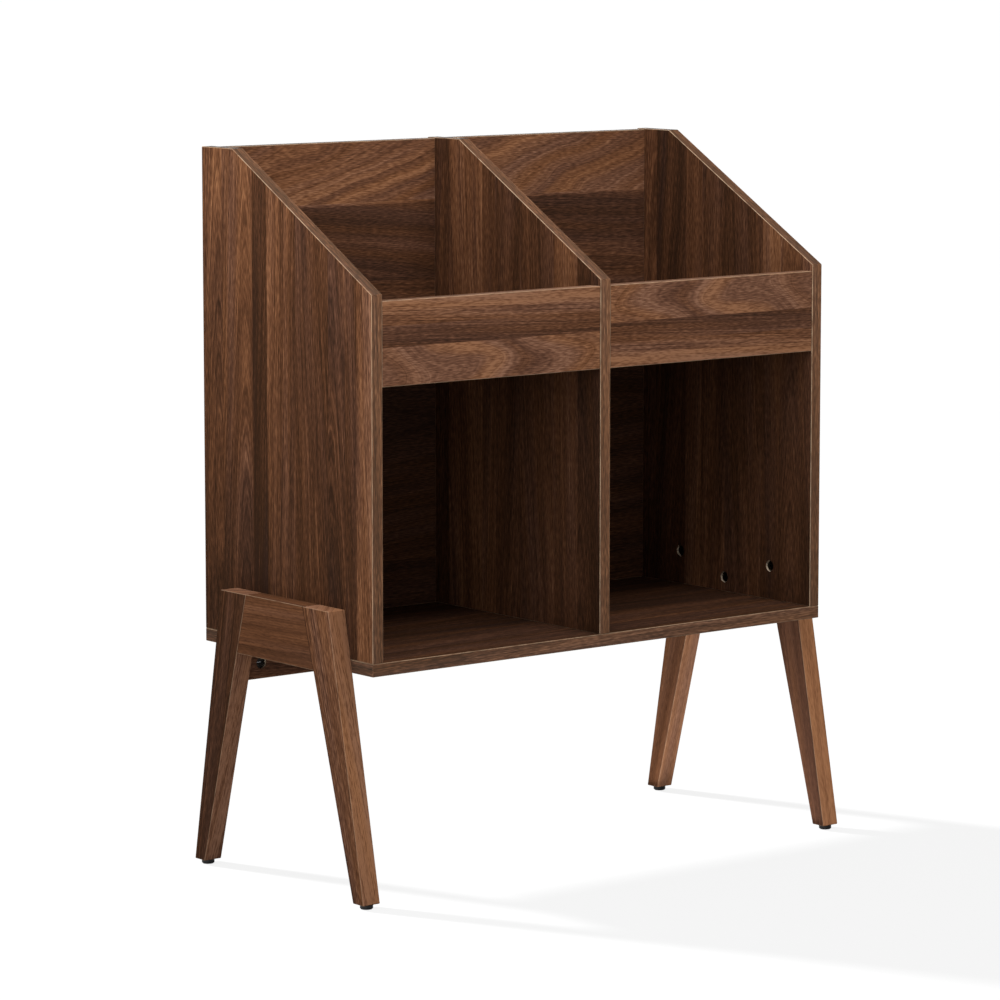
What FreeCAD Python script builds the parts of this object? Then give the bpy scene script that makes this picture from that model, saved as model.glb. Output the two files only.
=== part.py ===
"""Free-standing two-bay record cabinet on splayed trestle legs, as an assembly of separate pieces.

Frame: +Z up, +X to the right seen from the front, the front faces -Y.
The origin is on the floor, in the middle of the part's own box.
Cabinet coordinates, used by every placement below, start at the left front corner of the bottom
panel's underside.
"""
import FreeCAD, Part
import os
import Sketcher
from FreeCAD import Placement, Rotation, Vector

# Driving dimensions, in millimetres
SIZES = {
    # Cabinet
    "cabinet_width": 724,
    "cabinet_depth": 348,
    "cabinet_height": 620,
    "panel_thickness": 16,
    "bottom_thickness": 16,
    "floor_thickness": 16,
    "board_thickness": 16,
    "back_thickness": 16,
    "crest_depth": 65,
    "shoulder_height": 459,
    "board_height": 103,
    "board_drop": 8,
    "board_setback": 0.8,
    "back_drop": 1,
    "panel_arris": 0.7,
    # Trestles and rear rail
    "ground_clearance": 280,
    "trestle_rise": 75.5,
    "leg_thickness": 25.5,
    "leg_top_width": 52.8,
    "leg_foot_width": 21,
    "front_leg_setback": 55.1,
    "front_leg_lean": 84,
    "back_leg_inset": 69.6,
    "back_leg_lean": 77,
    "leg_round": 1.2,
    "crosspiece_thickness": 25,
    "crosspiece_height": 75.5,
    "crosspiece_arris": 0.6,
    "rail_height": 40,
    "rail_thickness": 16,
    # Levelling feet and their threaded inserts
    "foot_height": 6,
    "foot_diameter": 16,
    "foot_bevel": 1.2,
    "stem_diameter": 6,
    "stem_rise": 22,
    "stem_socket": 3,
    "stem_room": 3,
    "foot_insert_diameter": 9,
    "foot_insert_length": 13,
    "running_clearance": 0.05,
    # Trestle bolts and their threaded inserts
    "bolt_height": 60,
    "middle_bolt_height": 35,
    "bolt_diameter": 6,
    "bolt_engagement": 13,
    "bolt_head_diameter": 12.5,
    "bolt_head_height": 4,
    "bolt_socket_width": 4.6,
    "bolt_socket_depth": 2.5,
    "bolt_clearance": 0.3,
    "counterbore_diameter": 15,
    "counterbore_depth": 6.5,
    "insert_diameter": 10,
    "insert_length": 14,
    "insert_room": 2,
    # Panel screws, driven up through the bottom panel
    "screw_length": 50,
    "screw_shank_diameter": 7,
    "screw_thread_diameter": 5,
    "screw_head_diameter": 10,
    "screw_socket_width": 4.6,
    "screw_socket_depth": 2,
    "screw_clearance": 0.1,
    "screw_room": 2,
    # Cam locks and cam bolts
    "cam_setback": 26,
    "cam_diameter": 14.6,
    "cam_height": 10,
    "cam_hole_diameter": 15,
    "cam_slot_width": 2,
    "cam_slot_depth": 2,
    "cam_bore_diameter": 7,
    "cam_bolt_diameter": 6,
    "cam_bolt_reach": 2.5,
    "cam_thread_diameter": 5,
    "cam_thread_length": 11,
    "cam_clearance": 0.1,
    "edge_bore_diameter": 8,
    # Dowels between legs and crosspieces
    "dowel_diameter": 8,
    "dowel_length": 30,
    "dowel_bevel": 0.8,
    "dowel_clearance": 0.05,
    "cut_overrun": 4,
}

# Places of repeated fasteners, as shares of the piece that carries them
UPRIGHT_SCREW_SHARES = (0.12, 0.36, 0.90)
BACK_SCREW_SHARES = (0.2, 0.8)
FLOOR_CAM_SHARES = (0.15, 0.85)
BOARD_CAM_SHARES = (0.62,)
BACK_CAM_SHARES = (0.12, 0.86)
RAIL_CAM_SHARES = (0.5,)
DOWEL_SHARES = (0.25, 0.75)
COUNTERSINK_DEGREES = 90

doc = FreeCAD.newDocument("RecordCabinet")
sheet = doc.addObject("Spreadsheet::Sheet", "Sizes")
for row, (alias, number) in enumerate(SIZES.items(), 1):
    sheet.set(f"A{row}", alias)
    sheet.set(f"B{row}", str(number))
    sheet.setAlias(f"B{row}", alias)
doc.recompute()


class Size:
    """A length that keeps the sheet formula it comes from: it can be bound to a property, and read."""

    def __init__(self, formula, value):
        self.formula = formula
        self.value = value

    def joined(self, sign, other, value):
        text = other.formula if isinstance(other, Size) else str(other)
        return Size(f"({self.formula} {sign} {text})", value)

    def __add__(self, other):
        return self.joined("+", other, self.value + float(other))

    def __sub__(self, other):
        return self.joined("-", other, self.value - float(other))

    def __mul__(self, other):
        return self.joined("*", other, self.value * float(other))

    def __truediv__(self, other):
        return self.joined("/", other, self.value / float(other))

    def __neg__(self):
        return Size(f"(-1 * {self.formula})", -self.value)

    def __float__(self):
        return float(self.value)


class Sizes:
    """Every alias of the sheet as a Size."""

    def __init__(self):
        for name in SIZES:
            setattr(self, name, Size(f"Sizes.{name}", float(getattr(sheet, name))))


size = Sizes()
NOTHING = Size("0", 0.0)

# Lengths worked out from the driving dimensions
bay_width = (size.cabinet_width - size.panel_thickness * 3) / 2
divider_x = size.panel_thickness + bay_width
right_panel_x = size.cabinet_width - size.panel_thickness
right_bay_x = divider_x + size.panel_thickness
board_foot = size.shoulder_height - size.board_drop - size.board_height
board_rear = size.board_setback + size.board_thickness
back_front = size.cabinet_depth - size.back_thickness
leg_length = size.trestle_rise + size.ground_clearance - size.foot_height
leg_foot_z = size.foot_height - size.ground_clearance
leg_taper = (size.leg_top_width - size.leg_foot_width) / 2
front_leg_middle = size.front_leg_setback + size.leg_top_width / 2
front_foot_y = front_leg_middle - size.front_leg_lean
back_leg_middle = size.cabinet_depth - size.back_leg_inset - size.leg_top_width / 2
back_foot_y = back_leg_middle + size.back_leg_lean
toe_overhang = size.leg_foot_width / 2 - front_foot_y
middle_y = (size.cabinet_depth - toe_overhang) / 2
crosspiece_foot = size.trestle_rise - size.crosspiece_height
rail_middle_z = -(size.rail_height / 2)
screw_grip = size.screw_length - size.bottom_thickness


def leg_share(height):
    """How far down its leg a height above the underside lies, from 0 at the top to 1 at the foot."""
    return (size.trestle_rise - height) / leg_length


def front_leg_y(height):
    """The front leg's centre line at a height above the cabinet's underside."""
    return front_leg_middle - size.front_leg_lean * leg_share(height)


def back_leg_y(height):
    """The back leg's centre line at a height above the cabinet's underside."""
    return back_leg_middle + size.back_leg_lean * leg_share(height)


def half_leg(height):
    """Half the leg's tapering width at a height above the cabinet's underside."""
    return size.leg_top_width / 2 - leg_taper * leg_share(height)


def gap_between_legs(height):
    """Where the gap between a trestle's legs starts and ends at a height above the underside."""
    return front_leg_y(height) + half_leg(height), back_leg_y(height) - half_leg(height)


# Modelling helpers
PLANES = {"X": "YZ_Plane", "Y": "XZ_Plane", "Z": "XY_Plane"}


def bind(thing, path, length):
    """Ties a property to the sheet."""
    thing.setExpression(path, length.formula)


def place(thing, x, y, z):
    """Puts a piece at a point given in cabinet coordinates."""
    bind(thing, "Placement.Base.x", x - size.cabinet_width / 2)
    bind(thing, "Placement.Base.y", y - middle_y)
    bind(thing, "Placement.Base.z", z + size.ground_clearance)


def new_body(label):
    body = doc.addObject("PartDesign::Body", label)
    body.Label = label
    return body


def new_sketch(body, name, axis, at=None):
    """A sketch across one axis of the body, at a distance along that axis."""
    sketch = body.newObject("Sketcher::SketchObject", name)
    plane = [item for item in body.Origin.OriginFeatures if item.Role == PLANES[axis]][0]
    sketch.AttachmentSupport = [(plane, "")]
    sketch.MapMode = "FlatFace"
    if at is not None:
        bind(sketch, "AttachmentOffset.Base.z", -at if axis == "Y" else at)
    return sketch


def fix_point(sketch, geometry, end, x, y):
    """Ties one point of a sketch to two sheet lengths measured from the sketch's origin."""
    for kind, length in (("DistanceX", x), ("DistanceY", y)):
        index = sketch.addConstraint(Sketcher.Constraint(kind, -1, 1, geometry, end, float(length)))
        bind(sketch, f"Constraints[{index}]", length)


def draw_outline(sketch, points):
    """A closed outline of straight lines whose corners are all tied to the sheet."""
    corners = [Vector(float(x), float(y), 0) for x, y in points]
    count = len(points)
    for index in range(count):
        sketch.addGeometry(Part.LineSegment(corners[index], corners[(index + 1) % count]), False)
    for index in range(count):
        sketch.addConstraint(Sketcher.Constraint("Coincident", index, 2, (index + 1) % count, 1))
    for index, (x, y) in enumerate(points):
        fix_point(sketch, index, 1, x, y)


def draw_circles(sketch, centres, diameter):
    """Circles of one diameter at sheet-bound centres."""
    for x, y in centres:
        circle = Part.Circle(Vector(float(x), float(y), 0), Vector(0, 0, 1), float(diameter) / 2)
        geometry = sketch.addGeometry(circle, False)
        fix_point(sketch, geometry, 3, x, y)
        index = sketch.addConstraint(Sketcher.Constraint("Diameter", geometry, float(diameter)))
        bind(sketch, f"Constraints[{index}]", diameter)


def pad_outline(body, axis, points, length):
    """Extrudes a closed outline along the axis it is drawn across."""
    sketch = new_sketch(body, "Outline", axis)
    draw_outline(sketch, points)
    pad = body.newObject("PartDesign::Pad", "Blank")
    pad.Profile = sketch
    bind(pad, "Length", length)
    doc.recompute()
    return pad


def rectangle(width, depth):
    return [(NOTHING, NOTHING), (width, NOTHING), (width, depth), (NOTHING, depth)]


def ease_edges(body, pad, kind, path, length):
    """Breaks every edge of a blank with a small chamfer or round."""
    eased = body.newObject(f"PartDesign::{kind}", "Eased")
    eased.Base = (pad, ["Edge1"])
    eased.UseAllEdges = True
    bind(eased, path, length)
    doc.recompute()


def must_cut(body, before, feature):
    if body.Shape.Volume >= before:
        raise RuntimeError(f"{body.Label}: {feature.Label} cuts nothing")


def drill(body, towards, at, centres, diameter, depth):
    """Round holes that start at a distance along an axis and run one way, such as +X.

    Returns their sketch.
    """
    before = body.Shape.Volume
    sketch = new_sketch(body, "Holes", towards[1], at)
    draw_circles(sketch, centres, diameter)
    pocket = body.newObject("PartDesign::Pocket", "Bored")
    pocket.Profile = sketch
    pocket.Reversed = towards in ("+X", "-Y", "+Z")
    bind(pocket, "Length", depth)
    doc.recompute()
    must_cut(body, before, pocket)
    return sketch


def through_holes(body, towards, at, centres, diameter, mouth, mouth_diameter):
    """Through holes with a counterbore or countersink at the mouth. Returns their sketch and feature."""
    before = body.Shape.Volume
    sketch = new_sketch(body, "Holes", towards[1], at)
    draw_circles(sketch, centres, diameter)
    doc.recompute()
    hole = body.newObject("PartDesign::Hole", "Bolted")
    hole.Profile = sketch
    hole.Reversed = towards in ("+X", "-Y", "+Z")
    hole.DepthType = "ThroughAll"
    hole.HoleCutType = mouth
    hole.HoleCutCustomValues = True
    bind(hole, "Diameter", diameter)
    bind(hole, "HoleCutDiameter", mouth_diameter)
    doc.recompute()
    must_cut(body, before, hole)
    return sketch, hole


def hole_points(sketch):
    """Where a sketch's circles lie in the part's frame."""
    spot = sketch.getGlobalPlacement()
    return [spot.multVec(circle.Center) for circle in sketch.Geometry]


def primitive(kind, name, **lengths):
    """A Part primitive whose sizes are tied to the sheet."""
    thing = doc.addObject(f"Part::{kind}", name)
    for path, length in lengths.items():
        bind(thing, path, length)
    return thing


def lift(thing, x=None, y=None, z=None):
    """Moves a primitive within its fastener."""
    for path, length in (("x", x), ("y", y), ("z", z)):
        if length is not None:
            bind(thing, f"Placement.Base.{path}", length)
    return thing


def fuse(name, base, tool):
    joined = doc.addObject("Part::Fuse", name)
    joined.Base = base
    joined.Tool = tool
    joined.Refine = True
    return joined


def cut(name, base, tool):
    left = doc.addObject("Part::Cut", name)
    left.Base = base
    left.Tool = tool
    return left


# Panels between the uprights, all held at their ends by cam locks
class BayPanel:
    """A panel that fills a bay: its front and foot, its depth and height, and where its cams go."""

    def __init__(self, front, foot, depth, height, shares, cam_face):
        self.front = front
        self.foot = foot
        self.depth = depth
        self.height = height
        self.cam_face = cam_face
        if cam_face == "under":
            self.thickness = height
            self.rows = [(depth * share, height / 2) for share in shares]
        else:
            self.thickness = depth
            self.rows = [(depth / 2, height * share) for share in shares]

    def bolt_places(self):
        """The cam bolts' places across the width, as Y and Z in cabinet coordinates."""
        return [(self.front + y, self.foot + z) for y, z in self.rows]


floor_depth = back_front - board_rear
back_height = size.cabinet_height - size.bottom_thickness - size.back_drop
rail_front = back_leg_y(rail_middle_z) - size.rail_thickness / 2

BAY_PANELS = {
    "bin_floor": BayPanel(
        board_rear, board_foot, floor_depth, size.floor_thickness, FLOOR_CAM_SHARES, "under"
    ),
    "front_board": BayPanel(
        size.board_setback, board_foot, size.board_thickness, size.board_height, BOARD_CAM_SHARES, "rear"
    ),
    "back_panel": BayPanel(
        back_front, size.bottom_thickness, size.back_thickness, back_height, BACK_CAM_SHARES, "rear"
    ),
}
RAIL = BayPanel(
    rail_front, -size.rail_height, size.rail_thickness, size.rail_height, RAIL_CAM_SHARES, "front"
)
CAM_FACES = {"under": Vector(0, 0, -1), "rear": Vector(0, 1, 0), "front": Vector(0, -1, 0)}
LEFT = Vector(-1, 0, 0)
RIGHT = Vector(1, 0, 0)


def make_cam_panel(label, kind, x, width):
    """A panel with cam holes near both ends.

    Returns its body and the sketches of its end bores, left then right.
    """
    body = new_body(label)
    pad = pad_outline(body, "Z", rectangle(width, kind.depth), kind.height)
    ease_edges(body, pad, "Chamfer", "Size", size.panel_arris)
    place(body, x, kind.front, kind.foot)
    ends = (size.cam_setback, width - size.cam_setback)
    cam_hole_depth = (kind.thickness + size.cam_height) / 2
    if kind.cam_face == "under":
        towards, at = "+Z", NOTHING
        holes = [(end, y) for end in ends for y, z in kind.rows]
    else:
        towards, at = ("-Y", kind.depth) if kind.cam_face == "rear" else ("+Y", NOTHING)
        holes = [(end, z) for end in ends for y, z in kind.rows]
    drill(body, towards, at, holes, size.cam_hole_diameter, cam_hole_depth)
    left_bores = drill(body, "+X", NOTHING, kind.rows, size.edge_bore_diameter, size.cam_setback)
    right_bores = drill(body, "-X", width, kind.rows, size.edge_bore_diameter, size.cam_setback)
    return body, left_bores, right_bores


bodies = []
cam_spots = []
single_bolt_spots = []
double_bolt_spots = []


def note_cams(kind, sketch, outward):
    """Keeps the place of each cam behind a row of edge bores."""
    for point in hole_points(sketch):
        middle = point - outward * float(size.cam_setback)
        cam_spots.append((middle, outward, CAM_FACES[kind.cam_face]))


for name, kind in BAY_PANELS.items():
    left = make_cam_panel(f"left_{name}", kind, size.panel_thickness, bay_width)
    right = make_cam_panel(f"right_{name}", kind, right_bay_x, bay_width)
    for body, left_bores, right_bores in (left, right):
        bodies.append(body)
        note_cams(kind, left_bores, LEFT)
        note_cams(kind, right_bores, RIGHT)
    single_bolt_spots += [(point, LEFT) for point in hole_points(left[1])]
    single_bolt_spots += [(point, RIGHT) for point in hole_points(right[2])]
    double_bolt_spots += hole_points(left[2])

rail, rail_left, rail_right = make_cam_panel("rear_stretcher", RAIL, NOTHING, size.cabinet_width)
bodies.append(rail)
for sketch, outward in ((rail_left, LEFT), (rail_right, RIGHT)):
    note_cams(RAIL, sketch, outward)
    single_bolt_spots += [(point, outward) for point in hole_points(sketch)]


# Uprights: two side panels and a divider of one sloping profile, standing on the bottom panel
upright_height = size.cabinet_height - size.bottom_thickness
upright_shoulder = size.shoulder_height - size.bottom_thickness
UPRIGHT_PROFILE = [
    (NOTHING, NOTHING),
    (size.cabinet_depth, NOTHING),
    (size.cabinet_depth, upright_height),
    (size.cabinet_depth - size.crest_depth, upright_height),
    (NOTHING, upright_shoulder),
]
cam_thread_hole = size.cam_thread_diameter + size.cam_clearance * 2
cam_thread_depth = size.cam_thread_length + size.cam_clearance
screw_thread_hole = size.screw_thread_diameter + size.screw_clearance * 2
bolt_hole = size.bolt_diameter + size.bolt_clearance * 2
trestle_middle = (front_leg_middle + back_leg_middle) / 2
TRESTLE_BOLTS = [
    (front_leg_y(size.bolt_height), size.bolt_height),
    (back_leg_y(size.bolt_height), size.bolt_height),
    (trestle_middle, size.middle_bolt_height),
]


def in_upright(places):
    """Places in cabinet coordinates, as the upright's own Y and Z."""
    return [(y, z - size.bottom_thickness) for y, z in places]


def make_upright(label, x):
    body = new_body(label)
    pad = pad_outline(body, "X", UPRIGHT_PROFILE, size.panel_thickness)
    ease_edges(body, pad, "Chamfer", "Size", size.panel_arris)
    place(body, x, NOTHING, size.bottom_thickness)
    screws = [(size.panel_thickness / 2, size.cabinet_depth * share) for share in UPRIGHT_SCREW_SHARES]
    drill(body, "+Z", NOTHING, screws, screw_thread_hole, screw_grip + size.screw_room)
    return body


cam_bolt_places = in_upright([spot for kind in BAY_PANELS.values() for spot in kind.bolt_places()])
trestle_bolt_sketches = []
for label, x, inner, towards in (
    ("left_side_panel", NOTHING, size.panel_thickness, "-X"),
    ("right_side_panel", right_panel_x, NOTHING, "+X"),
):
    body = make_upright(label, x)
    drill(body, towards, inner, cam_bolt_places, cam_thread_hole, cam_thread_depth)
    spots = in_upright(TRESTLE_BOLTS)
    sketch, hole = through_holes(
        body, towards, inner, spots, bolt_hole, "Counterbore", size.counterbore_diameter
    )
    bind(hole, "HoleCutDepth", size.counterbore_depth)
    trestle_bolt_sketches.append((sketch, LEFT if towards == "-X" else RIGHT))
    bodies.append(body)

divider = make_upright("center_divider", divider_x)
drill(divider, "+X", NOTHING, cam_bolt_places, cam_thread_hole, size.panel_thickness)
bodies.append(divider)

# Bottom panel, screwed up into the uprights and the back panels
upright_xs = [x + size.panel_thickness / 2 for x in (NOTHING, divider_x, right_panel_x)]
bay_xs = (size.panel_thickness, right_bay_x)
back_xs = [x + bay_width * share for x in bay_xs for share in BACK_SCREW_SHARES]
back_y = back_front + size.back_thickness / 2
bottom_screws = [(x, size.cabinet_depth * share) for x in upright_xs for share in UPRIGHT_SCREW_SHARES]
bottom_screws += [(x, back_y) for x in back_xs]

bottom_panel = new_body("bottom_panel")
blank = pad_outline(
    bottom_panel, "Z", rectangle(size.cabinet_width, size.cabinet_depth), size.bottom_thickness
)
ease_edges(bottom_panel, blank, "Chamfer", "Size", size.panel_arris)
place(bottom_panel, NOTHING, NOTHING, NOTHING)
screw_sketch, screw_holes = through_holes(
    bottom_panel,
    "+Z",
    NOTHING,
    bottom_screws,
    size.screw_shank_diameter + size.screw_clearance * 2,
    "Countersink",
    size.screw_head_diameter + size.screw_clearance * 2,
)
screw_holes.HoleCutCountersinkAngle = COUNTERSINK_DEGREES
bodies.append(bottom_panel)

for label in ("left_back_panel", "right_back_panel"):
    screws = [(bay_width * share, size.back_thickness / 2) for share in BACK_SCREW_SHARES]
    back = doc.getObject(label)
    drill(back, "+Z", NOTHING, screws, screw_thread_hole, screw_grip + size.screw_room)


# Trestles: tapered splayed legs with a crosspiece between them, bolted to the outside of the side panels
insert_hole_depth = size.insert_length + size.insert_room
insert_hole = size.insert_diameter + size.bolt_clearance * 2
foot_insert_hole = size.foot_insert_diameter + size.bolt_clearance * 2
dowel_hole = size.dowel_diameter + size.dowel_clearance * 2
dowel_reach = size.dowel_length / 2 + size.cut_overrun
dowel_heights = [crosspiece_foot + size.crosspiece_height * share for share in DOWEL_SHARES]
dowel_depth = size.crosspiece_thickness / 2
foot_sketches = {}
dowel_spots = []


def from_inner_face(side, thickness, distance):
    """A distance in from the face that lies against the cabinet, along the piece's own X."""
    return thickness - distance if side == "left" else distance


def inner_drill(side, thickness):
    """Which way a drill enters from the face that lies against the cabinet, and where that face is."""
    return ("-X", thickness) if side == "left" else ("+X", NOTHING)


def make_leg(side, end):
    """One leg in its own frame: Y from its front-most corner, Z from its foot."""
    body = new_body(f"{side}_{end}_leg")
    slant = size.front_leg_lean if end == "front" else size.back_leg_lean
    centre_of = front_leg_y if end == "front" else back_leg_y
    if end == "front":
        foot_front, top_front = NOTHING, slant - leg_taper
    else:
        foot_front, top_front = slant + leg_taper, NOTHING
    outline = [
        (foot_front, NOTHING),
        (foot_front + size.leg_foot_width, NOTHING),
        (top_front + size.leg_top_width, leg_length),
        (top_front, leg_length),
    ]
    blank = pad_outline(body, "X", outline, size.leg_thickness)
    ease_edges(body, blank, "Fillet", "Radius", size.leg_round)
    start_x = -size.leg_thickness if side == "left" else size.cabinet_width
    start_y = centre_of(leg_foot_z) - size.leg_foot_width / 2 - foot_front
    place(body, start_x, start_y, leg_foot_z)
    towards, inner = inner_drill(side, size.leg_thickness)
    bolt_spot = (centre_of(size.bolt_height) - start_y, size.bolt_height - leg_foot_z)
    drill(body, towards, inner, [bolt_spot], insert_hole, insert_hole_depth)
    if end == "back":
        rail_spot = (centre_of(rail_middle_z) - start_y, rail_middle_z - leg_foot_z)
        drill(body, towards, inner, [rail_spot], cam_thread_hole, cam_thread_depth)
    across = from_inner_face(side, size.leg_thickness, dowel_depth)
    for height in dowel_heights:
        spot = [(across, height - leg_foot_z)]
        if end == "front":
            mouth = centre_of(height) + half_leg(height) + size.cut_overrun
            drill(body, "-Y", mouth - start_y, spot, dowel_hole, dowel_reach)
        else:
            mouth = centre_of(height) - half_leg(height) - size.cut_overrun
            drill(body, "+Y", mouth - start_y, spot, dowel_hole, dowel_reach)
    foot_spot = [(size.leg_thickness / 2, foot_front + size.leg_foot_width / 2)]
    stem_hole = size.stem_diameter + size.bolt_clearance * 2
    drill(body, "+Z", NOTHING, foot_spot, stem_hole, size.stem_rise + size.stem_room)
    sketch = drill(body, "+Z", NOTHING, foot_spot, foot_insert_hole, size.foot_insert_length)
    foot_sketches[side, end] = sketch
    return body


def make_crosspiece(side):
    """The board between a trestle's legs, cut to their slant. Y starts at its front lower corner."""
    body = new_body(f"{side}_crosspiece")
    low_front, low_back = gap_between_legs(crosspiece_foot)
    top_front, top_back = gap_between_legs(size.trestle_rise)
    outline = [
        (NOTHING, NOTHING),
        (low_back - low_front, NOTHING),
        (top_back - low_front, size.crosspiece_height),
        (top_front - low_front, size.crosspiece_height),
    ]
    blank = pad_outline(body, "X", outline, size.crosspiece_thickness)
    ease_edges(body, blank, "Fillet", "Radius", size.crosspiece_arris)
    x = -size.crosspiece_thickness if side == "left" else size.cabinet_width
    place(body, x, low_front, crosspiece_foot)
    towards, inner = inner_drill(side, size.crosspiece_thickness)
    bolt_spot = (trestle_middle - low_front, size.middle_bolt_height - crosspiece_foot)
    drill(body, towards, inner, [bolt_spot], insert_hole, insert_hole_depth)
    for height in dowel_heights:
        spot = [(dowel_depth, height - crosspiece_foot)]
        front_face, back_face = gap_between_legs(height)
        front_mouth = front_face - low_front - size.cut_overrun
        back_mouth = back_face - low_front + size.cut_overrun
        front_hole = drill(body, "+Y", front_mouth, spot, dowel_hole, dowel_reach)
        back_hole = drill(body, "-Y", back_mouth, spot, dowel_hole, dowel_reach)
        overrun = Vector(0, float(size.cut_overrun), 0)
        dowel_spots.extend(point + overrun for point in hole_points(front_hole))
        dowel_spots.extend(point - overrun for point in hole_points(back_hole))
    return body


for side in ("left", "right"):
    for end in ("front", "back"):
        bodies.append(make_leg(side, end))
    bodies.append(make_crosspiece(side))


# Levelling feet: a round plastic pad on a threaded stem, one under each leg
def make_foot(side, end):
    half = size.leg_thickness / 2
    x = -half if side == "left" else size.cabinet_width + half
    y = front_foot_y if end == "front" else back_foot_y
    radius = size.foot_diameter / 2
    pad = new_body(f"{side}_{end}_foot_pad")
    sketch = new_sketch(pad, "Section", "Y")
    draw_outline(
        sketch,
        [
            (NOTHING, NOTHING),
            (radius - size.foot_bevel, NOTHING),
            (radius, size.foot_bevel),
            (radius, size.foot_height - size.foot_bevel / 2),
            (radius - size.foot_bevel / 2, size.foot_height),
            (NOTHING, size.foot_height),
        ],
    )
    turned = pad.newObject("PartDesign::Revolution", "Turned")
    turned.Profile = sketch
    turned.ReferenceAxis = (sketch, ["V_Axis"])
    turned.Angle = 360
    doc.recompute()
    drill(pad, "-Z", size.foot_height, [(NOTHING, NOTHING)], size.stem_diameter, size.stem_socket)
    place(pad, x, y, -size.ground_clearance)
    stem = primitive(
        "Cylinder",
        f"{side}_{end}_foot_stem",
        Radius=size.stem_diameter / 2,
        Height=size.stem_rise + size.stem_socket,
    )
    stem.Label = stem.Name
    place(stem, x, y, size.foot_height - size.stem_socket - size.ground_clearance)
    return [pad, stem]


for side, end in foot_sketches:
    bodies += make_foot(side, end)
doc.recompute()


# Fasteners, each drawn once along +Z and then copied to its holes
UP = Vector(0, 0, 1)


def make_rod(name, diameter, length):
    return primitive("Cylinder", name, Radius=diameter / 2, Height=length)


def make_key(name, width, depth):
    """The hexagonal socket of a screw or bolt head, its width taken across the corners."""
    key = primitive("Prism", name, Circumradius=width / 2, Height=depth)
    key.Polygon = 6
    return key


def make_sleeve(name, outer, inner, length):
    """A threaded insert, plain inside and out, with its mouth at the origin."""
    return cut(name, make_rod(f"{name}_blank", outer, length), make_rod(f"{name}_bore", inner, length))


def make_bolt():
    """A socket-head bolt with its head's seat at the origin and its shank up."""
    length = size.panel_thickness - size.counterbore_depth + size.bolt_engagement
    head = make_rod("bolt_head", size.bolt_head_diameter, size.bolt_head_height)
    lift(head, z=-size.bolt_head_height)
    shank = make_rod("bolt_shank", size.bolt_diameter, length)
    key = make_key("bolt_key", size.bolt_socket_width, size.bolt_socket_depth)
    lift(key, z=-size.bolt_head_height)
    return cut("bolt", fuse("bolt_solid", head, shank), key)


def make_screw():
    """A panel screw with its head's face at the origin and its point up."""
    head_radius = size.screw_head_diameter / 2
    shank_radius = size.screw_shank_diameter / 2
    head = primitive(
        "Cone", "screw_head", Radius1=head_radius, Radius2=shank_radius, Height=head_radius - shank_radius
    )
    shank = make_rod("screw_shank", size.screw_shank_diameter, size.bottom_thickness)
    thread = make_rod("screw_thread", size.screw_thread_diameter, screw_grip)
    lift(thread, z=size.bottom_thickness)
    key = make_key("screw_key", size.screw_socket_width, size.screw_socket_depth)
    return cut("screw", fuse("screw_solid", fuse("screw_top", head, shank), thread), key)


def make_cam():
    """A cam disc round the origin, its slot up, with the bolt's bore along +X."""
    disc = make_rod("cam_disc", size.cam_diameter, size.cam_height)
    lift(disc, z=-(size.cam_height / 2))
    bore = make_rod("cam_bore", size.cam_bore_diameter, size.cam_diameter)
    bore.Placement.Rotation = Rotation(UP, RIGHT)
    lift(bore, x=-(size.cam_bore_diameter / 2))
    slot = primitive(
        "Box",
        "cam_slot",
        Length=size.cam_diameter,
        Width=size.cam_slot_width,
        Height=size.cam_slot_depth,
    )
    lift(
        slot,
        x=-(size.cam_diameter / 2),
        y=-(size.cam_slot_width / 2),
        z=size.cam_height / 2 - size.cam_slot_depth,
    )
    return cut("cam", cut("cam_bored", disc, bore), slot)


def cam_shank(name):
    """The plain end of a cam bolt, from a panel's face to just past its cam's middle."""
    return make_rod(name, size.cam_bolt_diameter, size.cam_setback + size.cam_bolt_reach)


def make_cam_bolt():
    """A cam bolt from the panel's face at the origin: its thread up, its plain end down into the cam."""
    thread = make_rod("cam_thread", size.cam_thread_diameter, size.cam_thread_length)
    shank = lift(cam_shank("cam_shank"), z=-(size.cam_setback + size.cam_bolt_reach))
    return fuse("cam_bolt", thread, shank)


def make_double_bolt():
    """A cam bolt with two plain ends, for the divider: its left face is at the origin."""
    core = make_rod("double_core", size.cam_thread_diameter, size.panel_thickness)
    lower = lift(cam_shank("double_lower"), z=-(size.cam_setback + size.cam_bolt_reach))
    upper = lift(cam_shank("double_upper"), z=size.panel_thickness)
    return fuse("double_bolt", fuse("double_half", core, lower), upper)


def make_dowel():
    """A plain dowel with bevelled ends, about the origin."""
    radius = size.dowel_diameter / 2
    half_peg = size.dowel_length / 2 - size.dowel_bevel
    peg = make_rod("dowel_peg", size.dowel_diameter, half_peg * 2)
    lift(peg, z=-half_peg)
    top = primitive(
        "Cone", "dowel_top", Radius1=radius, Radius2=radius - size.dowel_bevel, Height=size.dowel_bevel
    )
    lift(top, z=half_peg)
    tip = primitive(
        "Cone", "dowel_tip", Radius1=radius - size.dowel_bevel, Radius2=radius, Height=size.dowel_bevel
    )
    lift(tip, z=-(size.dowel_length / 2))
    return fuse("dowel", fuse("dowel_half", peg, top), tip)


def group(label, master, spots):
    """One node of separate solids: copies of a fastener, each at a point with a rotation."""
    doc.recompute()
    copies = []
    for point, turn in spots:
        copy = master.Shape.copy()
        copy.Placement = Placement(point, turn).multiply(copy.Placement)
        copies.append(copy)
    node = doc.addObject("Part::Feature", label)
    node.Label = label
    node.Shape = Part.makeCompound(copies)
    return node


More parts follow.
